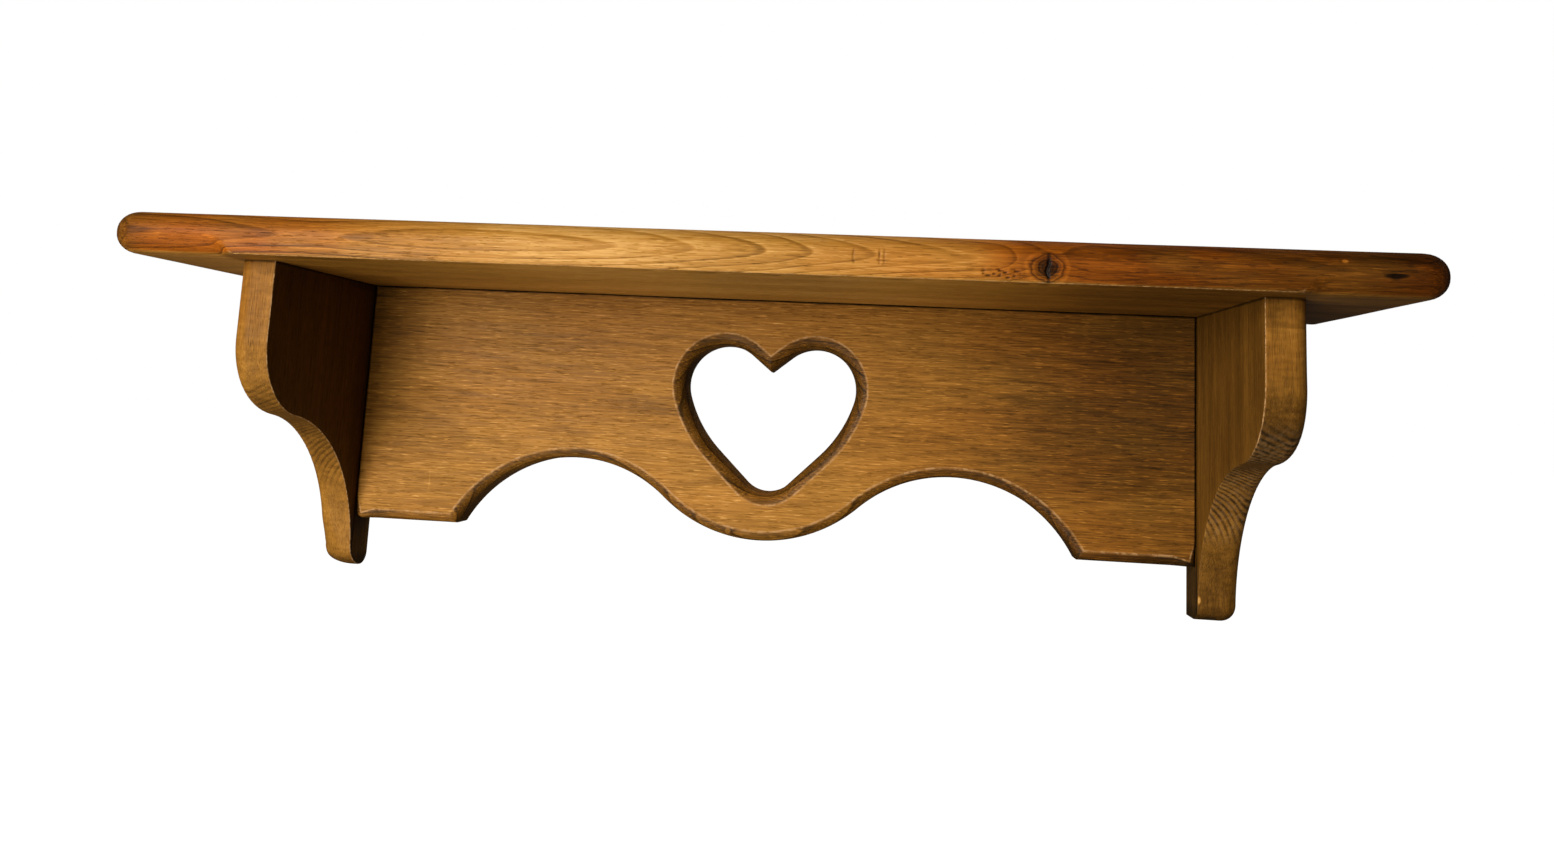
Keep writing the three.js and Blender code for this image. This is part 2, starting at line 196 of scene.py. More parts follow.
class Shell:
    """Collects the faces of one board, and welds them into a closed mesh."""

    def __init__(self, place):
        self.place = place            # turns (a, b, height) into a point in millimetres
        self.bm = bmesh.new()
        self.wear = self.bm.verts.layers.float.new("wear")
        self.groove = self.bm.verts.layers.float.new("groove")
        self.cut = self.bm.verts.layers.float.new("cut")

    def vert(self, a, b, height, wear=0.0, cut=0.0):
        vert = self.bm.verts.new(self.place(a, b, height))
        vert[self.wear] = wear
        vert[self.cut] = cut
        return vert

    def strip(self, rows, closed=False):
        """rows: for each step over the edge, a list of (a, b, height) along the outline."""
        grid = [[self.vert(*p) for p in row] for row in rows]
        count = len(rows[0])
        for low, high in zip(grid, grid[1:]):
            for i in range(count if closed else count - 1):
                j = (i + 1) % count
                self.bm.faces.new((low[i], low[j], high[j], high[i]))

    def polygon(self, points):
        self.bm.faces.new([self.vert(*p) for p in points])

    def cap(self, outer, holes, height, spacing):
        """A flat face inside the outer loop and outside the holes, with a grid of points in it."""
        loops = [dedupe(outer)] + [dedupe(hole) for hole in holes]
        points, edges = [], []
        for loop in loops:
            first = len(points)
            points += loop
            edges += [(first + i, first + (i + 1) % len(loop)) for i in range(len(loop))]
        points += grid_inside(loops, spacing)
        out = delaunay_2d_cdt([Vector(p) for p in points], edges, [], 0, 1e-6)
        verts = [self.vert(p.x, p.y, height) for p in out[0]]
        faces = np.array([f for f in out[2] if len(f) == 3])
        flat = np.array([(p.x, p.y) for p in out[0]])
        keep = inside(flat[faces].mean(axis=1), loops)
        for f in faces[keep]:
            self.bm.faces.new([verts[i] for i in f])
        for v in verts:
            if not v.link_faces:
                self.bm.verts.remove(v)

    def finish(self, name, warp=None):
        bm = self.bm
        bmesh.ops.remove_doubles(bm, verts=bm.verts, dist=1e-3)
        bmesh.ops.dissolve_degenerate(bm, dist=1e-4, edges=bm.edges)
        bmesh.ops.triangulate(bm, faces=[f for f in bm.faces if len(f.verts) > 4])
        bmesh.ops.recalc_face_normals(bm, faces=bm.faces)
        if warp:
            bm.normal_update()
            moves = [warp(v) for v in bm.verts]
            for v, move in zip(bm.verts, moves):
                v.co += move
        for e in bm.edges:
            e.smooth = len(e.link_faces) == 2 and e.calc_face_angle(0) < math.radians(32)
        for f in bm.faces:
            f.smooth = True
        bmesh.ops.scale(bm, vec=(MM, MM, MM), verts=bm.verts)
        mesh = bpy.data.meshes.new(name)
        bm.to_mesh(mesh)
        bm.free()
        piece = bpy.data.objects.new(name, mesh)
        bpy.context.scene.collection.objects.link(piece)
        return piece


def dedupe(loop):
    kept = []
    for p in loop:
        if not kept or math.dist(kept[-1], p) > 2e-3:
            kept.append(p)
    if math.dist(kept[0], kept[-1]) < 2e-3:
        kept.pop()
    return kept


def inside(points, loops):
    """True where a point lies inside an odd number of the loops."""
    result = np.zeros(len(points), bool)
    x, y = points[:, 0], points[:, 1]
    for loop in loops:
        a = np.array(loop)
        b = np.roll(a, -1, axis=0)
        for (x0, y0), (x1, y1) in zip(a, b):
            crosses = (y0 > y) != (y1 > y)
            if crosses.any():
                at = x0 + (y - y0) / (y1 - y0 if y1 != y0 else 1) * (x1 - x0)
                result ^= crosses & (x < at)
    return result


def grid_inside(loops, spacing):
    """A staggered grid of points inside the loops, clear of their edges."""
    outer = np.array(loops[0])
    low, high = outer.min(0), outer.max(0)
    rows = []
    for r, y in enumerate(np.arange(low[1] + spacing / 2, high[1], spacing)):
        x = np.arange(low[0] + spacing / (2 if r % 2 else 1), high[0], spacing)
        rows.append(np.stack([x, np.full_like(x, y)], 1))
    grid = np.concatenate(rows)
    grid = grid[inside(grid, loops)]
    edge = np.concatenate([np.array(loop) for loop in loops])
    clear = np.ones(len(grid), bool)
    for start in range(0, len(grid), 2000):
        part = grid[start:start + 2000]
        gap = np.sqrt(((part[:, None] - edge[None]) ** 2).sum(2)).min(1)
        clear[start:start + 2000] = gap > spacing * 0.55
    return [tuple(p) for p in grid[clear]]


def smooth(value, low, high):
    t = min(1.0, max(0.0, (value - low) / (high - low)))
    return t * t * (3 - 2 * t)


def waviness(v, amount):
    """How far a hand-finished surface stands off true at a point, in millimetres."""
    return amount * noise.noise(v.co / WAVE_LENGTH)


# ---- top board


def board_outline():
    half = (BOARD_HIGH.x - BOARD_LOW.x) / 2
    front, back, r = BOARD_LOW.y, BOARD_HIGH.y, BOARD["corner"]
    out = Outline()
    out.line((-half, back), (-half, front + r), 2.5)
    out.arc((-half + r, front + r), r, math.pi, 1.5 * math.pi, 1.2)
    out.stops((-half + r, front), (half - r, front), front_stops(half - r))
    out.arc((half - r, front + r), r, 1.5 * math.pi, TAU, 1.2)
    out.line((half, front + r), (half, back), 2.5)
    return out


def front_stops(half):
    """Distances along the front edge, close together where there are marks and the roundover stops."""
    fine = [(x - 2.2, x + 2.2, 0.35) for x in DENTS_X]
    fine += [(KNOT_X - 10, KNOT_X + 10, 0.45), (PITCH_X - 5, PITCH_X + 5, 0.6)]
    fine += [(TORN_X[0], TORN_X[1], 0.6)]
    places, x = [], -half
    while x < half - 0.2:
        places.append(x + half)
        step = 1.8
        for low, high, size in fine:
            if low - step < x < high:
                step = min(step, size)
        x += step
    return places + [2 * half]


def board_lower_round(x, y):
    """The lower roundover stops short of each bracket, and is only an eased edge between them."""
    if y > BOARD_LOW.y + BOARD["corner"] + 1:
        return BOARD["end_round"]
    left = smooth(-x, -BOARD["stop_left"] - 8, -BOARD["stop_left"] + 6)
    right = smooth(x, BOARD["stop_right"] - 8, BOARD["stop_right"] + 6)
    return BOARD["crisp"] + (BOARD["end_round"] - BOARD["crisp"]) * max(left, right)


def make_board():
    out = board_outline()
    shell = Shell(lambda a, b, h: (a, b, UNDERSIDE + h))
    lower = [board_lower_round(*p) for p in out.points]
    upper = BOARD["top_round"]
    round_steps, side_steps = 8, 14
    rows = []
    for i in range(round_steps + 1):
        turn = math.pi / 2 * i / round_steps
        depths = [r * (1 - math.sin(turn)) for r in lower]
        heights = [r * (1 - math.cos(turn)) for r in lower]
        worn = [1.0 if 1 <= i <= 6 and r < 2 else 0.0 for r in lower]
        rows.append([(*p, h, w) for p, h, w in zip(out.inset(depths), heights, worn)])
    for i in range(1, side_steps):
        t = i / side_steps
        rows.append([(*p, r + (STOCK - upper - r) * t) for p, r in zip(out.points, lower)])
    for inset, rise in quarter(upper, 10):
        depths = [inset] * len(lower)
        rows.append([(*p, STOCK - upper + rise) for p in out.inset(depths)])
    shell.strip(rows)
    shell.cap([p[:2] for p in rows[0]], [], 0, spacing=7)
    shell.cap([p[:2] for p in rows[-1]], [], STOCK, spacing=7)
    shell.polygon([row[0][:3] for row in rows] + [row[-1][:3] for row in reversed(rows)])
    return shell.finish("board_detailed", lambda v: board_warp(v, shell.groove))


def board_warp(v, groove):
    x, y, z = v.co
    if y > BOARD_HIGH.y - 0.01:
        return Vector((0, 0, 0))
    move = v.normal * waviness(v, 0.10)
    if y < BOARD_LOW.y + 9:
        depth = front_marks(x, z - UNDERSIDE)
        v[groove] = min(1.0, depth / 0.4) * 0.9
        move -= v.normal * depth
    return move


def front_marks(x, z):
    """Depth of the dents, the knot and its check, the torn grain and the pitch pocket."""
    depth = 0
    for k, dent in enumerate(DENTS_X):
        bow = 0.5 * ((z - DENTS_Z) / 3.2) ** 2 if k == 0 else 0
        depth += 0.2 * math.exp(-((x - dent - bow) / 0.42) ** 2) * smooth(3.9 - abs(z - DENTS_Z), 0, 1.2)
    away = math.hypot(x - KNOT_X, z - KNOT_Z)
    depth += 0.16 * smooth(5.4 - away, 0, 1.6) * (0.6 + 0.4 * noise.noise(Vector((x, z, 0)) / 1.5))
    check = x - KNOT_X - 0.5 * math.sin(z * 0.9)
    depth += 0.9 * math.exp(-(check / 0.5) ** 2) * smooth(4.2 - abs(z - KNOT_Z + 0.4), 0, 1.5)
    tear = noise.noise(Vector((x / 2.2, z / 0.8, 3)))
    torn = smooth(x, TORN_X[0] - 1, TORN_X[0] + 3) * smooth(TORN_X[1] + 1 - x, 0, 4)
    torn *= smooth(2.2 - abs(z - TORN_Z), 0, 0.8)
    depth += 0.5 * smooth(tear, 0.05, 0.35) * torn
    depth += 0.5 * smooth(1 - math.hypot((x - PITCH_X) / 4.5, (z - PITCH_Z) / 1.1), 0, 0.6)
    return depth


# ---- brackets


def bracket_outline(toe, heel):
    front, top, bottom = LEFT_LOW.y, UNDERSIDE - JOINT, LEFT_LOW.z
    nose = (front + BRACKET["nose"], UNDERSIDE - BRACKET["nose"])
    reach = BRACKET["nose"] + BRACKET["cove"]
    cove_y = -BRACKET["tail"] - BRACKET["cove"]
    cove = (cove_y, nose[1] - math.sqrt(reach ** 2 - (nose[0] - cove_y) ** 2))
    meeting = math.atan2(nose[1] - cove[1], nose[0] - cove[0])
    rise = bottom + toe - cove[1]
    run = math.sqrt((BRACKET["cove"] + toe) ** 2 - rise ** 2)
    toe_angle = math.atan2(rise, run)
    toe_y = cove[0] + run
    out = Outline()
    out.line((front, top), (front, nose[1]), 1.6)
    out.arc(nose, BRACKET["nose"], math.pi, math.pi + meeting, 0.6)
    out.arc(cove, BRACKET["cove"], meeting, toe_angle, 0.4)
    out.arc((toe_y, bottom + toe), toe, math.pi + toe_angle, 1.5 * math.pi, 0.8)
    if toe_y < -heel:
        out.line((toe_y, bottom), (-heel, bottom), 1.0)
    if heel > 2:
        out.arc((-heel, bottom + heel), heel, -0.5 * math.pi, 0, 0.8)
    else:
        out.line((-heel, bottom), (0, bottom), 1.0)
    return out


def ring_depth(a, across, side):
    """How deep into a dark growth ring a point of a bracket's end grain lies, from 0 to 1."""
    wander = 1.6 * noise.noise(Vector((a / 24, across / 24, side * 5)))
    ring = (math.hypot(across - BRACKET_PITH[0], a - BRACKET_PITH[1]) + wander) / BRACKET_RING
    part = ring % 1
    strength = 0.55 + 0.45 * noise.noise(Vector((math.floor(ring) * 3.7, across / 9, a / 30)))
    return strength * smooth(part, 0.35, 0.7) * (1 - smooth(part, 0.8, 1.0))


def make_bracket(name, sizes):
    """Heights run from the inner face to the outer one; the front leans out a little."""
    side, heel, radius, crisp = sizes["side"], sizes["heel"], sizes["roundover"], BRACKET["crisp"]
    inner = RIGHT_LOW.x if side > 0 else -LEFT_HIGH.x
    lean = sizes["splay"] / -LEFT_LOW.y
    out = bracket_outline(sizes["toe"], heel)
    swell = sizes["swell"] / STOCK
    shell = Shell(lambda a, b, h: (side * (inner - lean * a + h * (1 + swell * smooth(-b, 10, 60))), a, b))
    rows = []
    for inset, rise in reversed(quarter(crisp, 3)):
        worn = 1.0 if 0 < rise < crisp else 0.0
        rows.append([(*p, crisp - rise, worn) for p in out.inset([inset] * len(out.points))])
    foot = [smooth(-b, 106, 124) for _, b in out.points]
    limit = [radius + sizes["foot"][0] * t for t in foot]
    thick = [radius + sizes["foot"][1] * t for t in foot]
    if heel > 2:
        for i, (a, _) in enumerate(out.points):
            if a > -18:
                limit[i] = min(limit[i], max(heel - 0.6, 0.5 * -a + 2.5))
    side_steps, round_steps = 20, 14
    for i in range(1, side_steps):
        t = i / side_steps
        rows.append([(*p, crisp + (STOCK - q - crisp) * t, 0) for p, q in zip(out.points, thick)])
    for i in range(round_steps + 1):
        turn = math.pi / 2 * i / round_steps
        moved = out.inset([r * (1 - math.cos(turn)) for r in limit])
        rows.append([(*p, STOCK - q + q * math.sin(turn), 0) for p, q in zip(moved, thick)])
    shell.strip(rows)
    back_top = (0, UNDERSIDE - JOINT)
    shell.cap([p[:2] for p in rows[0]] + [back_top], [], 0, spacing=6)
    shell.cap([p[:2] for p in rows[-1]] + [back_top], [], STOCK, spacing=6)
    shell.polygon([row[0] for row in rows] + [(*back_top, STOCK), (*back_top, 0)])
    shell.polygon([row[-1] for row in rows] + [(*back_top, STOCK), (*back_top, 0)])

    def warp(v):
        x, y, z = v.co
        if y > -0.3 or z > UNDERSIDE - 0.5:
            return Vector((0, 0, 0))
        end = smooth(abs(v.normal.z), 0.2, 0.5) * smooth(abs(v.normal.y), 0.1, 0.4) * smooth(-z, 30, 44)
        end *= 1 - smooth(-z, 84, 96)
        across = side * x - inner
        ridges = end * ring_depth(y, across, side)
        v[shell.groove] = ridges
        if side > 0:
            v[shell.wear] = max(v[shell.wear] * smooth(z, -52, -40), 0.2 * end)
        return v.normal * (waviness(v, 0.1) - sizes["ridge"] * ridges)

    return shell.finish(name, warp)


# ---- back panel


def scallop_outline():
    bottom, side = PANEL_LOW.z, PANEL_HIGH.x - JOINT
    arch_z = UNDERSIDE - SCALLOP["drop"]
    half = SCALLOP["spacing"] / 2
    rise = bottom - arch_z
    springing = math.asin(rise / SCALLOP["arch"])
    lobe = (half ** 2 + rise ** 2 - SCALLOP["arch"] ** 2) / (2 * (SCALLOP["arch"] - rise))
    lobe_z = bottom + lobe
    meeting = math.atan2(lobe_z - arch_z, half)
    centre = SCALLOP["centre"]
    foot = half + SCALLOP["arch"] * math.cos(springing)
    top = UNDERSIDE - JOINT
    out = Outline()
    corner = SCALLOP["corner"]
    out.line((-side + corner, bottom), (centre - foot, bottom), 1.5)
    out.arc((centre - half, arch_z), SCALLOP["arch"], math.pi - springing, meeting, 1.2)
    out.arc((centre, lobe_z), lobe, math.pi + meeting, TAU - meeting, 1.2)
    out.arc((centre + half, arch_z), SCALLOP["arch"], math.pi - meeting, springing, 1.2)
    out.line((centre + foot, bottom), (side, bottom), 1.5)
    out.line((side, bottom), (side, top), 1.5)
    out.line((side, top), (-side, top), 3)
    out.line((-side, top), (-side, bottom + corner), 1.5)
    out.arc((-side + corner, bottom + corner), corner, math.pi, 1.5 * math.pi, 0.5)
    return out


def heart_outline():
    lobe_x, lobe_z = HEART["lobe_spacing"] / 2, UNDERSIDE - HEART["lobe_drop"]
    start = math.pi / 2 + HEART["cleft"]
    touch = (lobe_x + HEART["lobe"] * math.cos(start), lobe_z + HEART["lobe"] * math.sin(start))
    cleft_z = touch[1] - touch[0] * math.tan(HEART["cleft"])
    first, last, side = HEART["side_start"], HEART["side_end"], HEART["side"]
    side_x = lobe_x - (side - HEART["lobe"]) * math.cos(first)
    side_z = lobe_z + (side - HEART["lobe"]) * math.sin(first)
    tip_z = side_z + (HEART["tip"] - side - side_x * math.cos(last)) / math.sin(last)
    flank = (side_x + side * math.cos(last), side_z - side * math.sin(last))
    tip = (HEART["tip"] * math.cos(last), tip_z - HEART["tip"] * math.sin(last))
    c, step = HEART["centre"], 0.9
    out = Outline()
    out.line((c, cleft_z), (c + touch[0], touch[1]), step)
    out.arc((c + lobe_x, lobe_z), HEART["lobe"], start, -first, step)
    out.arc((c + side_x, side_z), side, -first, -last, step)
    out.line((c + flank[0], flank[1]), (c + tip[0], tip[1]), step)
    out.arc((c, tip_z), HEART["tip"], -last, last - math.pi, step)
    out.line((c - tip[0], tip[1]), (c - flank[0], flank[1]), step)
    out.arc((c - side_x, side_z), side, math.pi + last, math.pi + first, step)
    out.arc((c - lobe_x, lobe_z), HEART["lobe"], math.pi + first, math.pi - start, step)
    out.line((c - touch[0], touch[1]), (c, cleft_z), step)
    return out


def panel_edge_round(a, b):
    """Full rounding along the scalloped edge, dying out a little way up the two ends."""
    side = PANEL_HIGH.x - JOINT
    if b > UNDERSIDE - JOINT - 0.5:
        return 0.5
    if abs(a) > side - 0.01:
        return 0.5 + (SCALLOP["corner"] - 1.0) * smooth(PANEL_LOW.z + 14 - b, 0, 12)
    from_end = max(0, side - SCALLOP["corner"] - abs(a))
    return min(SCALLOP["round"], SCALLOP["corner"] - 0.5 + 0.3 * from_end)


def stadium(x, radius, top, bottom, steps=16):
    """An upright slot's outline, from its lower right, with rounded ends."""
    points = []
    for centre, start in ((top - radius, 0), (bottom + radius, math.pi)):
        for i in range(steps + 1):
            angle = start + math.pi * i / steps
            points.append((x + radius * math.cos(angle), centre + radius * math.sin(angle)))
    return points


def make_panel():
    crisp, side_steps = 0.4, 5
    shell = Shell(lambda a, b, h: (a, -h, b))
    edge, heart = scallop_outline(), heart_outline()
    fronts, backs = [], []
    for out, radii, steps in (
        (edge, [panel_edge_round(*p) for p in edge.points], 7),
        (heart, [HEART["round"]] * len(heart.points), 10),
    ):
        rows = []
        for inset, rise in reversed(quarter(crisp, 2)):
            # The cut walls and roundovers are marked for darkening: partly the stain the cut wood soaks up,
            # partly painted shade.
            cut = 0.0 if rise == crisp else 1.0
            rows.append([(*p, crisp - rise, 0, cut) for p in out.inset([inset] * len(out.points), True)])
        for i in range(1, side_steps):
            t = i / side_steps
            rows.append([(*p, crisp + (STOCK - r - crisp) * t, 0, 1) for p, r in zip(out.points, radii)])
        for i in range(steps + 1):
            turn = math.pi / 2 * i / steps
            moved = out.inset([r * (1 - math.cos(turn)) for r in radii], True)
            last = i == steps
            marks = [(smooth(r, 0.6, 3) if last else 0.0, 0.0 if last else 1.0) for r in radii]
            rows.append([(*p, STOCK - r + r * math.sin(turn), *m) for p, r, m in zip(moved, radii, marks)])
        beyond = out.inset([r + 0.55 for r in radii], True)
        rows.append([(*p, STOCK, 0) for p in beyond])
        shell.strip(rows, closed=True)
        backs.append([p[:2] for p in rows[0]])
        fronts.append([p[:2] for p in rows[-1]])
    for side in (-1, 1):
        x = side * HANGER["spacing"] / 2
        recess = stadium(x, HANGER["radius"], HANGER["top"], HANGER["bottom"])
        pocket = stadium(x, POCKET["radius"], POCKET["top"], POCKET["bottom"])
        backs.append(recess)
        shell.strip([[(*p, h) for p in recess] for h in (0, HANGER["depth"])], closed=True)
        shell.cap(recess, [pocket], HANGER["depth"], spacing=6)
        shell.strip([[(*p, h) for p in pocket] for h in (HANGER["depth"], POCKET["depth"])], closed=True)
        shell.cap(pocket, [], POCKET["depth"], spacing=6)
    shell.cap(backs[0], backs[1:], 0, spacing=6)
    shell.cap(fronts[0], fronts[1:], STOCK, spacing=4)
    return shell.finish("panel_detailed", panel_warp)


def panel_warp(v):
    if v.normal.y > -0.3:
        return Vector((0, 0, 0))
    return Vector((0, waviness(v, 0.12), 0))


# ---- materials


class Graph:
    """Short names for building one material's nodes. Values may be numbers or other nodes' outputs."""

    def __init__(self, name):
        self.material = bpy.data.materials.new(name)
        self.material.use_nodes = True
        self.tree = self.material.node_tree
        self.shader = self.tree.nodes["Principled BSDF"]
        coordinates = self.tree.nodes.new("ShaderNodeTexCoord").outputs["Object"]
        millimetres = self.tree.nodes.new("ShaderNodeVectorMath")
        millimetres.operation = "SCALE"
        millimetres.inputs["Scale"].default_value = 1 / MM
        self.tree.links.new(coordinates, millimetres.inputs[0])
        self.place = millimetres.outputs["Vector"]
        self.x, self.y, self.z = self.split(self.place)

    def put(self, socket, value):
        if isinstance(value, bpy.types.NodeSocket):
            self.tree.links.new(value, socket)
        else:
            socket.default_value = value

    def split(self, vector):
        node = self.tree.nodes.new("ShaderNodeSeparateXYZ")
        self.put(node.inputs[0], vector)
        return node.outputs

    def join(self, x, y, z):
        node = self.tree.nodes.new("ShaderNodeCombineXYZ")
        for socket, value in zip(node.inputs, (x, y, z)):
            self.put(socket, value)
        return node.outputs[0]

    def math(self, operation, a, b=0.0):
        node = self.tree.nodes.new("ShaderNodeMath")
        node.operation = operation
        self.put(node.inputs[0], a)
        self.put(node.inputs[1], b)
        return node.outputs[0]

    def add(self, *values):
        total = values[0]
        for value in values[1:]:
            total = self.math("ADD", total, value)
        return total

    def times(self, *values):
        total = values[0]
        for value in values[1:]:
            total = self.math("MULTIPLY", total, value)
        return total

    def more(self, value, *factors):
        """The value plus the product of the factors."""
        return self.add(value, self.times(*factors))

    def less(self, value, *factors):
        """The value minus the product of the factors."""
        return self.minus(value, self.times(*factors))

    def minus(self, a, b):
        return self.math("SUBTRACT", a, b)

    def far(self, a, b):
        """Distance from the origin of a point (a, b)."""
        return self.math("SQRT", self.add(self.times(a, a), self.times(b, b)))

    def spot(self, a, b, inner, outer):
        """1 where a point (a, b) lies within the inner distance, falling smoothly to 0 at the outer one."""
        return self.step(self.far(a, b), inner, outer, 1.0, 0.0)

    def shrunk(self, *factors):
        """The place, with x, y and z each times its factor."""
        return [self.times(c, factor) for c, factor in zip((self.x, self.y, self.z), factors)]

    def noise(self, x, y, z, detail=2.0):
        """Noise from 0 to 1 about 0.5, at coordinates already divided by the size of its features."""
        node = self.tree.nodes.new("ShaderNodeTexNoise")
        self.put(node.inputs["Vector"], self.join(x, y, z))
        node.inputs["Scale"].default_value = 1
        node.inputs["Detail"].default_value = detail
        return node.outputs["Fac"]

    def step(self, value, low, high, start=0.0, end=1.0):
        """A smooth change from start to end as value goes from low to high."""
        node = self.tree.nodes.new("ShaderNodeMapRange")
        node.interpolation_type = "SMOOTHSTEP"
        self.put(node.inputs["Value"], value)
        limits = {"From Min": low, "From Max": high, "To Min": start, "To Max": end}
        for socket, number in limits.items():
            self.put(node.inputs[socket], number)
        return node.outputs["Result"]

    def bump_at(self, value, place, width):
        """1 at place, falling smoothly to 0 at width on each side."""
        return self.step(self.math("ABSOLUTE", self.minus(value, place)), 0.0, width, 1.0, 0.0)

    def curve(self, value, low, high, points):
        """A smooth curve through (value, result) points, with results from 0 to 1."""
        node = self.tree.nodes.new("ShaderNodeFloatCurve")
        span = high - low
        line = node.mapping.curves[0]
        stops = [((x - low) / span, y) for x, y in points]
        for stop, (x, y) in zip(line.points, (stops[0], stops[-1])):
            stop.location = (x, y)
        for x, y in stops[1:-1]:
            line.points.new(x, y)
        node.mapping.update()
        self.put(node.inputs["Value"], self.times(self.minus(value, low), 1 / span))
        return node.outputs["Value"]

    def ramp(self, value, stops):
        node = self.tree.nodes.new("ShaderNodeValToRGB")
        elements = node.color_ramp.elements
        while len(elements) < len(stops):
            elements.new(0.5)
        for element, (at, colour) in zip(elements, stops):
            element.position = at
            element.color = (*colour, 1)
        self.put(node.inputs[0], value)
        return node.outputs["Color"]

    def mix(self, amount, a, b, blend="MIX"):
        node = self.tree.nodes.new("ShaderNodeMix")
        node.data_type = "RGBA"
        node.blend_type = blend
        self.put(node.inputs["Factor"], amount)
        self.put(node.inputs["A"], a if isinstance(a, bpy.types.NodeSocket) else (*a, 1))
        self.put(node.inputs["B"], b if isinstance(b, bpy.types.NodeSocket) else (*b, 1))
        return node.outputs["Result"]

    def attribute(self, name):
        node = self.tree.nodes.new("ShaderNodeAttribute")
        node.attribute_name = name
        return node.outputs["Fac"]

    def facing(self):
        """The surface's own direction, as (x, y, z) on the object."""
        return self.split(self.tree.nodes.new("ShaderNodeTexCoord").outputs["Normal"])

    def bump(self, height, distance):
        node = self.tree.nodes.new("ShaderNodeBump")
        node.inputs["Strength"].default_value = 1
        node.inputs["Distance"].default_value = distance * MM
        self.put(node.inputs["Height"], height)
        return node.outputs["Normal"]


# Tones of the brackets' edges by height, and of their outer faces. On the right bracket the dip between -50
# and -18 is painted shade on the nose's lower half, which turns downward.
LEFT_FRONT = ((-140, 0.54), (-120, 0.61), (-60, 0.62), (-40, 0.60), (-20, 0.60), (20, 0.60))
RIGHT_FRONT_WITH_SHADE = (
    (-140, 0.44), (-125, 0.46), (-95, 0.47), (-84, 0.62), (-60, 0.66), (-50, 0.52), (-42, 0.40),
    (-34, 0.38), (-26, 0.42), (-18, 0.53), (-5, 0.58), (4, 0.61), (20, 0.60),
)
OUTER_TONE = 0.55

# The stain, from its darkest to its lightest, in linear colour.
STAIN = (
    (0.00, (0.009, 0.0045, 0.0005)),
    (0.20, (0.048, 0.0220, 0.0025)),
    (0.40, (0.138, 0.0610, 0.0075)),
    (0.60, (0.312, 0.1430, 0.0195)),
    (0.80, (0.520, 0.2550, 0.0450)),
    (1.00, (0.770, 0.4450, 0.1350)),
)
WORN = (0.58, 0.34, 0.15)              # bare wood where an edge is rubbed
RED_STAIN = (1.0, 0.58, 0.20)          # what the redder patches of stain multiply the colour by


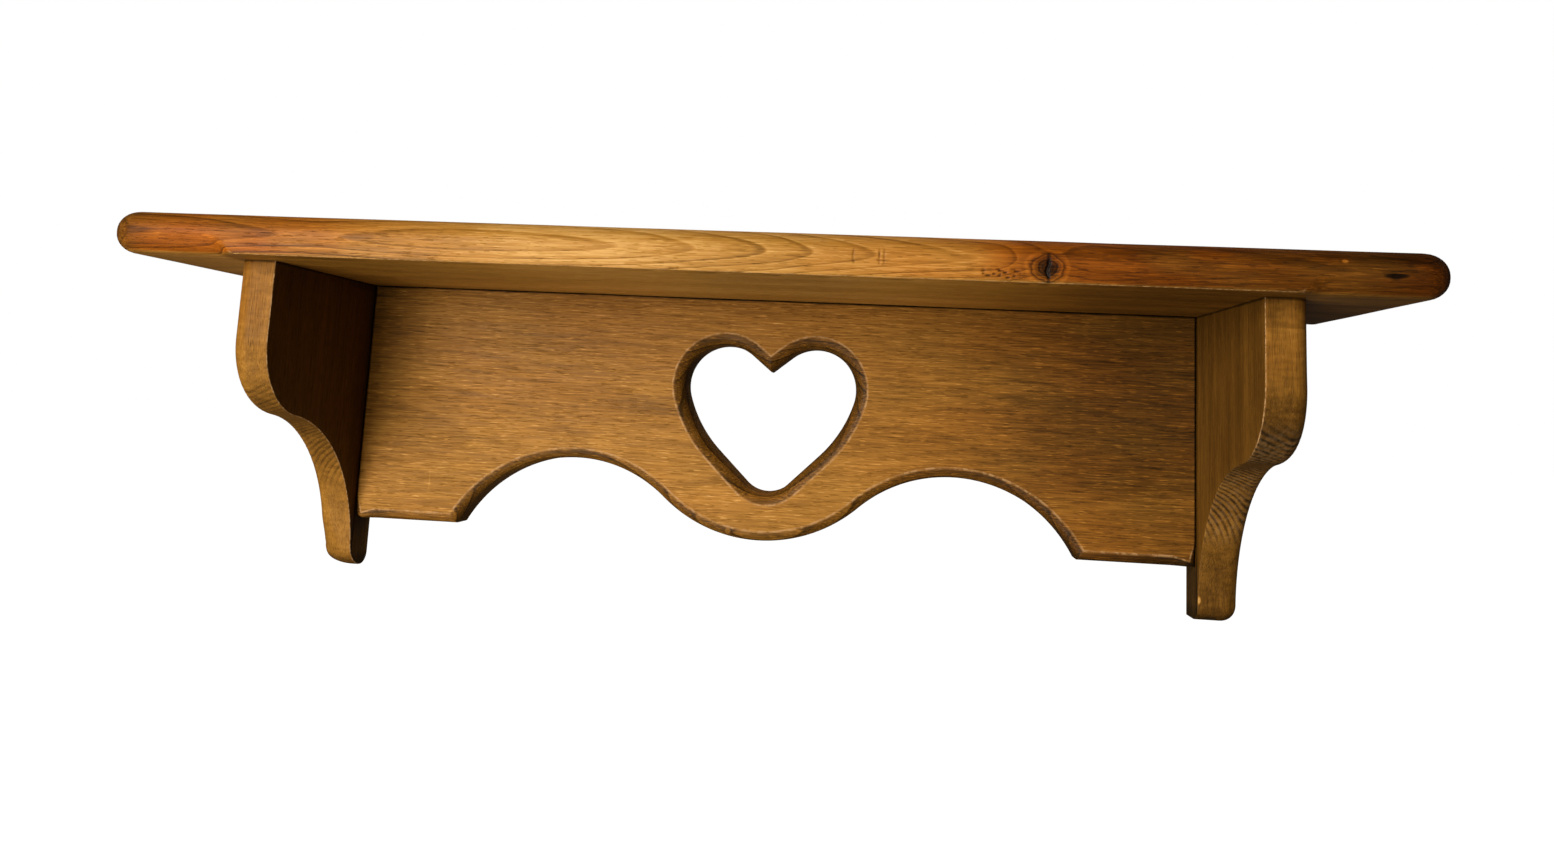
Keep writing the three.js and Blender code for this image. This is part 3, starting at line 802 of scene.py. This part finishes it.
class Pine(Graph):
    """Stained pine: growth rings round a pith, long fibres, pores, and the stain's own variation."""

    def __init__(self, name, grain, pith, spacing, seed, sway=9.0):
        super().__init__(name)
        along, across, through = {"x": (self.x, self.y, self.z), "z": (self.z, self.x, self.y)}[grain]
        self.along, self.across, self.through = along, across, through
        self.seed = seed
        self.grain = grain
        a, b, c = self.scaled(170, 55, 55)
        wander = self.times(self.minus(self.noise(self.add(a, seed), b, c, 1.0), 0.5), sway)
        a, b, c = self.scaled(38, 9, 9)
        ripple = self.minus(self.noise(a, self.add(b, seed), c, 1.0), 0.5)
        wander = self.more(wander, ripple, sway * 0.18)
        self.radius = self.add(self.far(self.minus(across, pith[0]), self.minus(through, pith[1])), wander)
        self.spacing = spacing

    def scaled(self, long, wide, deep):
        """The place along, across and through the grain, divided by the sizes of its features."""
        ways = ((self.along, long), (self.across, wide), (self.through, deep))
        return [self.times(way, 1 / size) for way, size in ways]

    def rings(self, extra=None):
        """Late wood, from 0 to 1: a slow rise and a sharp outer edge in each ring."""
        phase = self.times(self.radius, 1 / self.spacing)
        if extra is not None:
            phase = self.add(phase, extra)
        part = self.math("FRACT", phase)
        late = self.times(self.step(part, 0.2, 0.9), 0.45)
        late = self.more(late, self.step(part, 0.72, 0.88), 0.75)
        late = self.times(late, self.step(part, 0.93, 1.0, 1.0, 0.0))
        late = self.less(late, self.step(part, 0.0, 0.2, 1.0, 0.0), 0.35)
        whole = self.math("FLOOR", phase)
        a, b, c = self.scaled(120, 40, 40)
        vary = self.noise(self.times(whole, 3.7), self.add(a, self.seed), self.add(b, c), 1.0)
        return self.times(late, self.step(vary, 0.3, 0.7, 0.35, 1.0))

    def streaks(self, long, wide, low, high, offset=0.0, detail=2.0):
        a, b, c = self.scaled(long, wide, wide)
        return self.step(self.noise(self.add(a, self.seed + offset), b, c, detail), low, high)

    def end_grain(self):
        facing = self.facing()
        toward = facing[0] if self.grain == "x" else facing[2]
        return self.step(self.math("ABSOLUTE", toward), 0.45, 1.0)

    def finish(self, tone, rings, options, redness=0.25):
        """tone: the local lightness, the stain's own and, on the board, the panel and the brackets, painted
        light and shade. Adds fibres, pores, rings, wear, gloss and relief.
        """
        fine = self.streaks(19, 0.6, 0.32, 0.68)
        coarse = self.streaks(42, 2.4, 0.3, 0.7, 4.0)
        broad = self.streaks(150, 13, 0.3, 0.7, 9.0)
        tone = self.more(tone, self.minus(fine, 0.5), options["fine"])
        tone = self.more(tone, self.minus(coarse, 0.5), options["coarse"])
        tone = self.more(tone, self.minus(broad, 0.5), options["broad"])
        # Cut walls and roundovers of the panel's edges: stronger rings, and darker partly for the stain
        # they soak up and partly as painted shade inside the heart and under the scallops.
        cut = self.attribute("cut")
        tone = self.less(tone, rings, self.add(options["ring"], self.times(cut, 0.16)))
        flecks = self.streaks(8.0, 0.5, 0.61, 0.68, 17.0, 1.0)
        pores = self.streaks(6.0, 0.55, 0.61, 0.69, 23.0, 1.0)
        tone = self.more(tone, flecks, options["fleck"])
        tone = self.less(tone, pores, options["pore"])
        end = self.end_grain()
        tone = self.less(tone, end, options["end"])
        tone = self.less(tone, self.attribute("groove"), options.get("groove", 0.3))
        tone = self.less(tone, cut, options.get("cut", 0))
        colour = self.ramp(tone, STAIN)
        a, b, c = self.scaled(60, 25, 25)
        patch = self.step(self.noise(a, b, self.add(c, self.seed + 31), 2.0), 0.3, 0.7, 0.45, 1.3)
        colour = self.mix(self.times(patch, redness), colour, RED_STAIN, "MULTIPLY")
        chips = self.step(self.noise(*self.scaled(2.5, 2.5, 2.5), 3.0), 0.42, 0.6, 0.25, 1.0)
        worn = self.times(self.attribute("wear"), chips, options["wear"])
        colour = self.mix(worn, colour, WORN)
        self.put(self.shader.inputs["Base Color"], colour)
        rough = self.add(options["rough"], self.times(self.minus(coarse, 0.5), 0.12), self.times(end, 0.15))
        rough = self.add(rough, self.times(pores, 0.15), self.times(self.minus(1.0, fine), 0.06))
        self.put(self.shader.inputs["Roughness"], rough)
        self.shader.inputs["Specular IOR Level"].default_value = 0.14
        self.shader.inputs["Coat Weight"].default_value = 0.03
        self.shader.inputs["Coat Roughness"].default_value = 0.32
        relief = self.add(self.times(fine, 0.35), self.times(pores, -0.8), self.times(rings, 0.25))
        self.put(self.shader.inputs["Normal"], self.bump(relief, options["relief"]))
        return self.material


def board_pine():
    """The top board: loops of growth rings along its front edge, a knot, and a tone that falls off from
    near the middle to a dark right end, partly the stain and partly a painted pool of light.
    """
    pine = Pine("board_pine", "x", (BOARD_LOW.y + 6, UNDERSIDE + 9.5), 2.1, 0.0, 2.4)
    climb = pine.curve(pine.x, -300, 300, (
        (-300, 0.0), (-260, 0.03), (-223, 0.10), (-197, 0.125), (-171, 0.10), (-120, 0.065), (-63, 0.10),
        (-23, 0.20), (10, 0.30), (31, 0.40), (80, 0.55), (130, 0.66), (200, 0.80), (300, 1.0),
    ))
    above_knot = pine.minus(pine.z, UNDERSIDE + KNOT_Z)
    from_knot = pine.far(pine.minus(pine.x, KNOT_X), pine.times(above_knot, 1.15))
    wobble = pine.noise(*pine.shrunk(0.22, 0.22, 0.22), 2.0)
    from_knot = pine.more(from_knot, pine.minus(wobble, 0.5), 3.2)
    front = pine.step(pine.y, BOARD_LOW.y + 8, BOARD_LOW.y + 16, 1.0, 0.0)
    knot = pine.times(pine.step(from_knot, 6.6, 7.8, 1.0, 0.0), front)
    halo = pine.times(pine.step(from_knot, 6.0, 22.0, 1.0, 0.0), front)
    swirl = pine.times(pine.step(from_knot, 5.0, 24.0, 1.0, 0.0), front, 1.1)
    rings = pine.rings(pine.add(pine.times(climb, 10.0), swirl))
    rings = pine.times(rings, pine.minus(1.0, knot), pine.step(pine.x, 40, 150, 1.0, 0.35))
    # Lightest either side of the middle, darker towards both ends and darkest at the right end: partly the
    # stain's own tone, partly a painted pool of light centred a little left of the middle.
    tone = pine.curve(pine.x, -300, 300, (
        (-300, 0.33), (-284, 0.46), (-262, 0.58), (-210, 0.65), (-150, 0.73), (-60, 0.88), (0, 0.84),
        (60, 0.87), (100, 0.78), (130, 0.60), (170, 0.43), (240, 0.37), (275, 0.29), (300, 0.24),
    ))
    inward = pine.step(pine.y, BOARD_LOW.y + 4, BOARD_LOW.y + 34)
    upper = pine.times(inward, pine.step(pine.z, UNDERSIDE + 12, UNDERSIDE + 18))
    even = pine.step(pine.x, -280, 280, 0.72, 0.56)
    tone = pine.add(pine.times(tone, pine.minus(1.0, upper)), pine.times(even, upper))
    tone = pine.less(tone, halo, 0.06)
    rim = pine.times(pine.bump_at(from_knot, 8.6, 1.6), front)
    tone = pine.more(tone, rim, 0.12)
    below = pine.step(pine.z, UNDERSIDE + 0.6, UNDERSIDE + 1.6, 1.0, 0.0)
    tone = pine.more(tone, below, pine.step(pine.x, -244, -236, 0.18, -0.06))
    tone = pine.more(tone, below, pine.step(pine.x, 90, 160, 0.0, 0.09))
    tone = pine.more(tone, below, pine.step(pine.x, 236, 244, 0.0, 0.12))
    knot_rings = pine.math("FRACT", pine.times(from_knot, 0.62))
    core = pine.add(0.24, pine.times(pine.step(knot_rings, 0.3, 0.9), 0.12))
    core = pine.more(core, pine.step(from_knot, 3.8, 5.2), 0.20)
    core = pine.less(core, pine.bump_at(from_knot, 6.9, 1.1), 0.13)
    check = pine.times(pine.bump_at(pine.minus(pine.x, KNOT_X), 0.3, 1.3), knot)
    core = pine.less(core, check, 0.25)
    tone = pine.add(pine.times(tone, pine.minus(1.0, knot)), pine.times(core, knot))
    across, above = pine.times(pine.minus(pine.x, PITCH_X), 0.22), pine.minus(pine.z, UNDERSIDE + PITCH_Z)
    tone = pine.less(tone, pine.spot(across, above, 0.7, 1.3), front, 0.35)
    across, above = pine.times(pine.minus(pine.x, CHIP_X), 0.6), pine.minus(pine.z, UNDERSIDE + CHIP_Z)
    tone = pine.more(tone, pine.spot(across, above, 0.4, 1.1), front, 0.40)
    across, out = pine.times(pine.minus(pine.x, SPOT_X), 0.5), pine.minus(pine.y, SPOT_Y)
    tone = pine.less(tone, pine.spot(across, out, 0.6, 2.0), below, 0.20)
    redness = pine.curve(pine.x, -300, 300, (
        (-300, 0.10), (-286, 0.3), (-255, 0.85), (-200, 0.55), (-140, 0.15), (-60, 0.04), (0, 0.1),
        (60, 0.3), (120, 0.75), (170, 1.0), (300, 1.0),
    ))
    redness = pine.times(redness, pine.step(pine.z, UNDERSIDE + 0.3, UNDERSIDE + 1.5, 0.15, 1.0))
    redness = pine.times(redness, pine.minus(1.0, pine.times(upper, 0.7)))
    return pine.finish(tone, rings, {
        "fine": 0.13, "coarse": 0.07, "broad": 0.10, "ring": 0.26, "fleck": 0.12, "pore": 0.11,
        "end": 0.10, "groove": 0.5, "wear": 0.55, "rough": 0.44, "relief": 0.12,
    }, redness)


def panel_pine():
    """The back panel: long level grain, with dark hairlines where it meets its neighbours, and painted
    shade under the board, in its left corner and towards its right.
    """
    pine = Pine("panel_pine", "x", (75.0, -60.0), 3.4, 40.0, 3.5)
    rings = pine.rings(pine.times(pine.x, 0.011))
    # Painted shade: the panel's tone darkens towards its right end, away from the key light.
    tone = pine.curve(pine.x, -300, 300, (
        (-300, 0.64), (-220, 0.64), (-120, 0.65), (0, 0.67), (60, 0.66), (100, 0.63), (140, 0.54),
        (170, 0.48), (220, 0.42), (300, 0.42),
    ))
    # Painted shade: darker up under the board, a little lighter low down.
    tone = pine.add(tone, pine.step(pine.z, -110, -20, 0.05, -0.04))
    # Painted shade on the panel's upper right.
    shade = pine.times(pine.step(pine.x, 50, 170), pine.step(pine.z, -85, -55), 0.05)
    tone = pine.minus(tone, shade)
    sides = pine.step(pine.math("ABSOLUTE", pine.x), PANEL_HIGH.x - 1.3, PANEL_HIGH.x - 0.2)
    top = pine.step(pine.z, PANEL_HIGH.z - 1.5, PANEL_HIGH.z - 0.3)
    tone = pine.less(tone, pine.math("MAXIMUM", sides, top), 0.4)
    # Painted shadow of the board and the left bracket in the panel's left corner, deepest at the top.
    corner = pine.step(pine.x, PANEL_LOW.x, PANEL_LOW.x + 38, 1.0, 0.0)
    tone = pine.less(tone, corner, pine.step(pine.z, -60, 10, 0.03, 0.20))
    scratch = pine.times(pine.bump_at(pine.x, SCRATCH_X, 0.7), pine.bump_at(pine.z, SCRATCH_Z, 8.0))
    tone = pine.more(tone, scratch, 0.10)
    chip = pine.spot(pine.minus(pine.x, LOBE_CHIP_X), pine.minus(pine.z, LOBE_CHIP_Z), 0.9, 2.0)
    tone = pine.more(tone, chip, 0.34)
    return pine.finish(tone, rings, {
        "fine": 0.15, "coarse": 0.05, "broad": 0.08, "ring": 0.05, "fleck": 0.19, "pore": 0.09,
        "end": 0.14, "cut": 0.25, "wear": 0.9, "rough": 0.46, "relief": 0.13,
    }, pine.step(pine.x, 30, 180, 0.12, 0.32))


def bracket_pine(name, sizes, seed, shaded_face_tone, edge_tones_and_shade, groove, chip):
    """A bracket: upright grain, inner faces darkened as painted shade, and edges whose tones, with some
    painted shade, are given by height.

    Groove: how strongly the end grain's grooves are coloured. Chip: how strongly the worn chip low on the
    edge is coloured, and with it the painted shadow of the board on the edge's top and the painted shade on
    the inner face below the panel.
    """
    side = sizes["side"]
    inner = RIGHT_LOW.x if side > 0 else -LEFT_HIGH.x
    pith = (side * (inner + BRACKET_PITH[0]), BRACKET_PITH[1])
    pine = Pine(name, "z", pith, BRACKET_RING, seed, 4.0)
    rings = pine.rings(pine.times(pine.z, 0.006))
    facing = pine.facing()
    flat = pine.step(pine.times(facing[0], side), -0.35, -0.8)
    edge = pine.minus(1.0, flat)
    outer = pine.step(pine.times(facing[0], side), 0.5, 0.95)
    tone = pine.curve(pine.z, -140, 20, edge_tones_and_shade)
    tone = pine.more(tone, outer, pine.minus(OUTER_TONE, tone))
    # The inner faces take their own darker tone: painted shade, darkest on the left bracket, whose inner
    # face turns away from the key light.
    tone = pine.add(pine.times(tone, edge), pine.times(flat, shaded_face_tone))
    seam = pine.times(pine.bump_at(pine.y, PANEL_LOW.y, 1.1), flat)
    top = pine.step(pine.z, UNDERSIDE - 1.4, UNDERSIDE - 0.4)
    tone = pine.less(tone, pine.math("MAXIMUM", seam, top), 0.25)
    foot = pine.step(pine.z, LEFT_LOW.z + 2, LEFT_LOW.z + 9, 1.0, 0.0)
    tone = pine.less(tone, foot, 0.12)
    # Painted shade on the inner face below the panel and behind its front.
    shade_behind_panel = pine.step(pine.y, PANEL_LOW.y - 1, PANEL_LOW.y + 1)
    shade_behind_panel = pine.times(shade_behind_panel, pine.step(pine.z, -110, -100, 1.0, 0.0))
    tone = pine.less(tone, shade_behind_panel, flat, chip, 0.4)
    # Painted shadow of the board over the top 13 mm of the edge.
    shelf_shadow = pine.times(pine.step(pine.z, UNDERSIDE - 13.4, UNDERSIDE - 12.8), edge, chip)
    tone = pine.less(tone, shelf_shadow, 0.2)
    mottle = pine.noise(*pine.shrunk(0.15, 0.1, 0.45), 3.0)
    tone = pine.more(tone, pine.minus(mottle, 0.5), edge, pine.minus(1.0, outer), 0.28)
    across = pine.times(pine.minus(pine.times(pine.x, side), inner + 1.0), 0.8)
    above = pine.times(pine.minus(pine.z, BRACKET_CHIP_Z), 0.4)
    tone = pine.more(tone, pine.spot(across, above, 0.4, 1.0), edge, chip)
    redness = pine.times(edge, pine.step(pine.z, -30, 0, 0.05, 0.2))
    return pine.finish(tone, rings, {
        "fine": 0.07, "coarse": 0.05, "broad": 0.08, "ring": 0.03, "fleck": 0.07, "pore": 0.07,
        "end": 0.16, "groove": groove, "wear": 0.9, "rough": 0.5, "relief": 0.10,
    }, redness)


def hanger_zinc():
    """Zinc plate: faint crystals, fine rolling lines and darker, rougher patches of tarnish."""
    zinc = Graph("hanger_zinc")
    crystals = zinc.tree.nodes.new("ShaderNodeTexVoronoi")
    zinc.put(crystals.inputs["Vector"], zinc.place)
    crystals.inputs["Scale"].default_value = 0.45
    facet = zinc.split(crystals.outputs["Color"])[0]
    lines = zinc.noise(*zinc.shrunk(6.0, 6.0, 0.15), 2.0)
    tarnish = zinc.step(zinc.noise(*zinc.shrunk(0.25, 0.25, 0.25), 4.0), 0.45, 0.7)
    shade = zinc.add(0.45, zinc.times(facet, 0.2), zinc.times(lines, 0.3), zinc.times(tarnish, -0.3))
    colour = zinc.ramp(shade, (
        (0.0, (0.16, 0.155, 0.14)), (0.5, (0.42, 0.43, 0.43)), (1.0, (0.72, 0.74, 0.75)),
    ))
    zinc.put(zinc.shader.inputs["Base Color"], colour)
    zinc.shader.inputs["Metallic"].default_value = 1.0
    rough = zinc.add(0.28, zinc.times(tarnish, 0.25), zinc.times(lines, 0.12))
    zinc.put(zinc.shader.inputs["Roughness"], rough)
    zinc.put(zinc.shader.inputs["Normal"], zinc.bump(lines, 0.03))
    return zinc.material


def dowel_beech():
    """Raw beech: pale, with short darker rays."""
    beech = Graph("dowel_beech")
    rays = beech.step(beech.noise(*beech.shrunk(1.6, 1.6, 0.5)), 0.5, 0.68)
    cloud = beech.noise(*beech.shrunk(0.12, 0.12, 0.12), 3.0)
    colour = beech.ramp(beech.minus(cloud, beech.times(rays, 0.25)), (
        (0.0, (0.30, 0.16, 0.08)), (0.5, (0.60, 0.40, 0.23)), (1.0, (0.74, 0.55, 0.35)),
    ))
    beech.put(beech.shader.inputs["Base Color"], colour)
    beech.put(beech.shader.inputs["Roughness"], beech.add(0.55, beech.times(rays, 0.15)))
    beech.put(beech.shader.inputs["Normal"], beech.bump(rays, 0.05))
    return beech.material


# ---- pieces and their finishes


def install(piece, material, node):
    piece.data.materials.append(material)
    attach(piece, "root")
    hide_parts(node)


def dress(node, material):
    """Gives a CAD node's object a better finish."""
    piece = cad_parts[node]
    for slot in piece.material_slots:
        slot.material = material


install(make_board(), board_pine(), "top_board")
install(make_panel(), panel_pine(), "back_panel")
left_pine = bracket_pine("bracket_pine_left", LEFT, 80.0, 0.29, LEFT_FRONT, 0.2, 0.0)
right_pine = bracket_pine("bracket_pine_right", RIGHT, 120.0, 0.42, RIGHT_FRONT_WITH_SHADE, 0.62, 0.5)
install(make_bracket("left_bracket_detailed", LEFT), left_pine, "left_bracket")
install(make_bracket("right_bracket_detailed", RIGHT), right_pine, "right_bracket")
zinc, beech = hanger_zinc(), dowel_beech()
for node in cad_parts:
    if "hanger" in node:
        dress(node, zinc)
    elif "dowel" in node:
        dress(node, beech)

# ---- floor, light and camera


def make_floor():
    mesh = bpy.data.meshes.new("floor")
    half, level = 40.0, -1.1
    corners = [(-half, -half, level), (half, -half, level), (half, half, level), (-half, half, level)]
    mesh.from_pydata(corners, [], [(0, 1, 2, 3)])
    floor = bpy.data.objects.new("floor", mesh)
    bpy.context.scene.collection.objects.link(floor)
    material = bpy.data.materials.new("floor_white")
    material.use_nodes = True
    shader = material.node_tree.nodes["Principled BSDF"]
    shader.inputs["Base Color"].default_value = (0.9, 0.9, 0.9, 1)
    shader.inputs["Roughness"].default_value = 0.9
    shader.inputs["Emission Color"].default_value = (1, 1, 1, 1)
    shader.inputs["Emission Strength"].default_value = 1.0
    mesh.materials.append(material)
    floor.visible_diffuse = False
    floor.visible_glossy = False


def make_world():
    world = bpy.data.worlds.new("studio")
    bpy.context.scene.world = world
    world.use_nodes = True
    tree = world.node_tree
    background = tree.nodes["Background"]
    path = tree.nodes.new("ShaderNodeLightPath")
    mix = tree.nodes.new("ShaderNodeMix")
    mix.data_type = "RGBA"
    mix.inputs["A"].default_value = (0.055, 0.05, 0.042, 1)
    mix.inputs["B"].default_value = (1, 1, 1, 1)
    tree.links.new(path.outputs["Is Camera Ray"], mix.inputs["Factor"])
    tree.links.new(mix.outputs["Result"], background.inputs["Color"])


def area_light(name, place, target, size, watts, colour, glossy=True):
    data = bpy.data.lights.new(name, "AREA")
    data.shape = "RECTANGLE"
    data.size, data.size_y = size
    data.energy = watts
    data.color = colour
    lamp = bpy.data.objects.new(name, data)
    lamp.location = place
    lamp.rotation_euler = (Vector(target) - Vector(place)).to_track_quat("-Z", "Y").to_euler()
    lamp.visible_glossy = glossy
    bpy.context.scene.collection.objects.link(lamp)


def make_lights():
    area_light("key", (-0.55, -1.2, 0.2), (0, -0.08, 0), (0.6, 0.5), 13, (1, 0.92, 0.80))
    area_light("low_fill", (-0.35, -0.8, -0.65), (0.05, -0.06, 0), (0.7, 0.5), 5.5, (1, 0.93, 0.82))
    area_light("back", (-0.2, 1.6, 0.3), (0, 0, 0), (1.4, 1.0), 8, (1, 0.95, 0.88), False)
    area_light("right_back", (1.3, 0.7, 0.5), (0.2, -0.05, 0), (0.8, 0.8), 4, (1, 0.95, 0.88), False)
    area_light("above", (0.1, 0.35, 0.9), (0, -0.05, 0.04), (0.9, 0.6), 4, (1, 0.95, 0.88), False)


def make_camera():
    data = bpy.data.cameras.new("camera")
    data.sensor_width = 36
    data.lens = 26.06
    data.shift_x = -0.0058
    data.shift_y = -0.1026
    data.clip_start = 0.01
    data.clip_end = 200
    camera = bpy.data.objects.new("camera", data)
    camera.location = (0.06675, -0.61341, UNDERSIDE * MM - 0.05671)
    camera.rotation_euler = [math.radians(a) for a in (97.408, -2.729, 5.399)]
    bpy.context.scene.collection.objects.link(camera)
    bpy.context.scene.camera = camera


make_floor()
make_world()
make_lights()
make_camera()
bpy.context.scene.view_settings.view_transform = "Standard"
